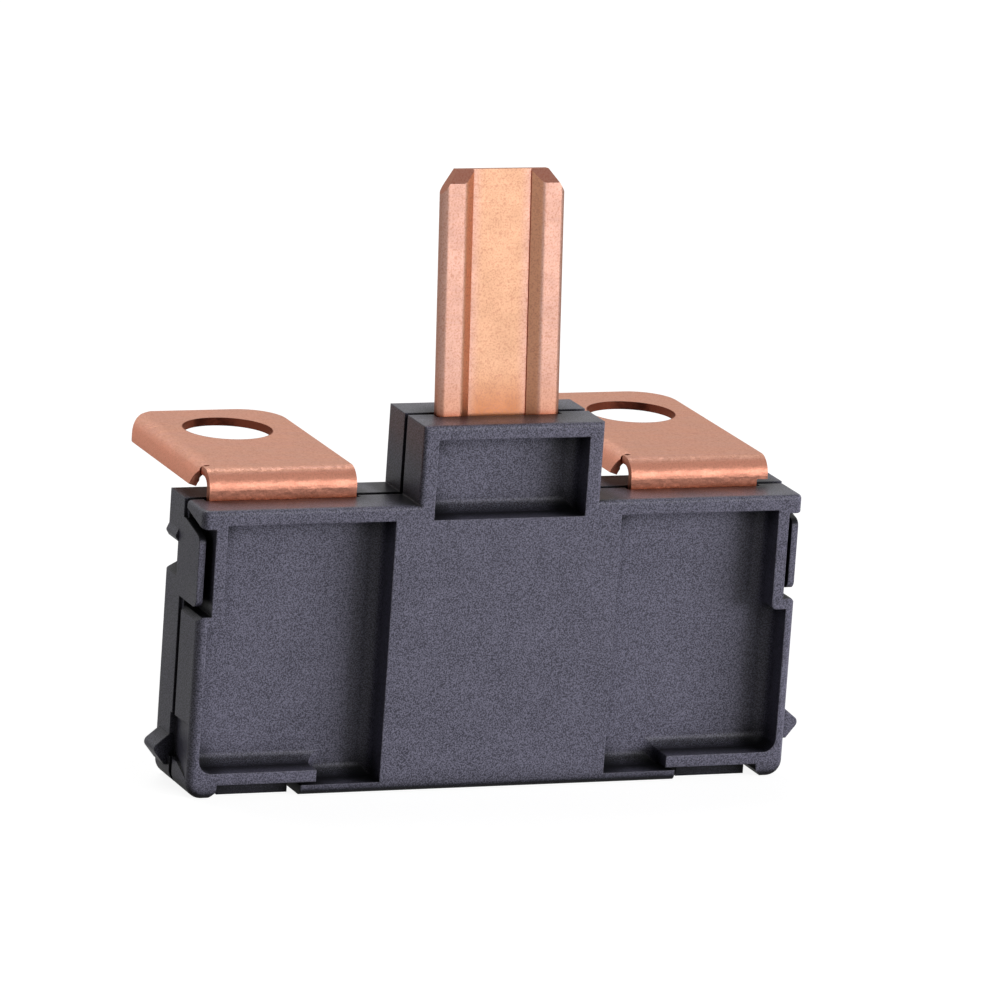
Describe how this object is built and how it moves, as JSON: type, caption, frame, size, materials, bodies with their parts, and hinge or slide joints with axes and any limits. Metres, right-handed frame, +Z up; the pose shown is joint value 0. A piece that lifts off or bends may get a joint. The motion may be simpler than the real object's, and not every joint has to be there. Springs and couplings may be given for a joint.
{
  "type": "multi fuse block",
  "caption": "Flat two-part moulded fuse block holding one stamped copper conductor with bent bolt tabs and an upright male blade.",
  "frame": {"origin": "centre of the housing's base, at half of the housing's depth", "axes": "+X to the right seen from the front, +Y from the front to the back, the way the bolt tabs reach, +Z up along the bolt holes"},
  "size_m": [0.0488, 0.024, 0.0448],
  "materials": {
    "housing": "fine matte",
    "copper": "satin, bare copper",
    "tin": "satin"
  },
  "bodies": {
    "root": {"front_cover": "housing", "rear_housing": "housing", "fuse_conductor": "copper", "left_tin_pellet": "tin", "right_tin_pellet": "tin"}
  },
  "joints": []
}
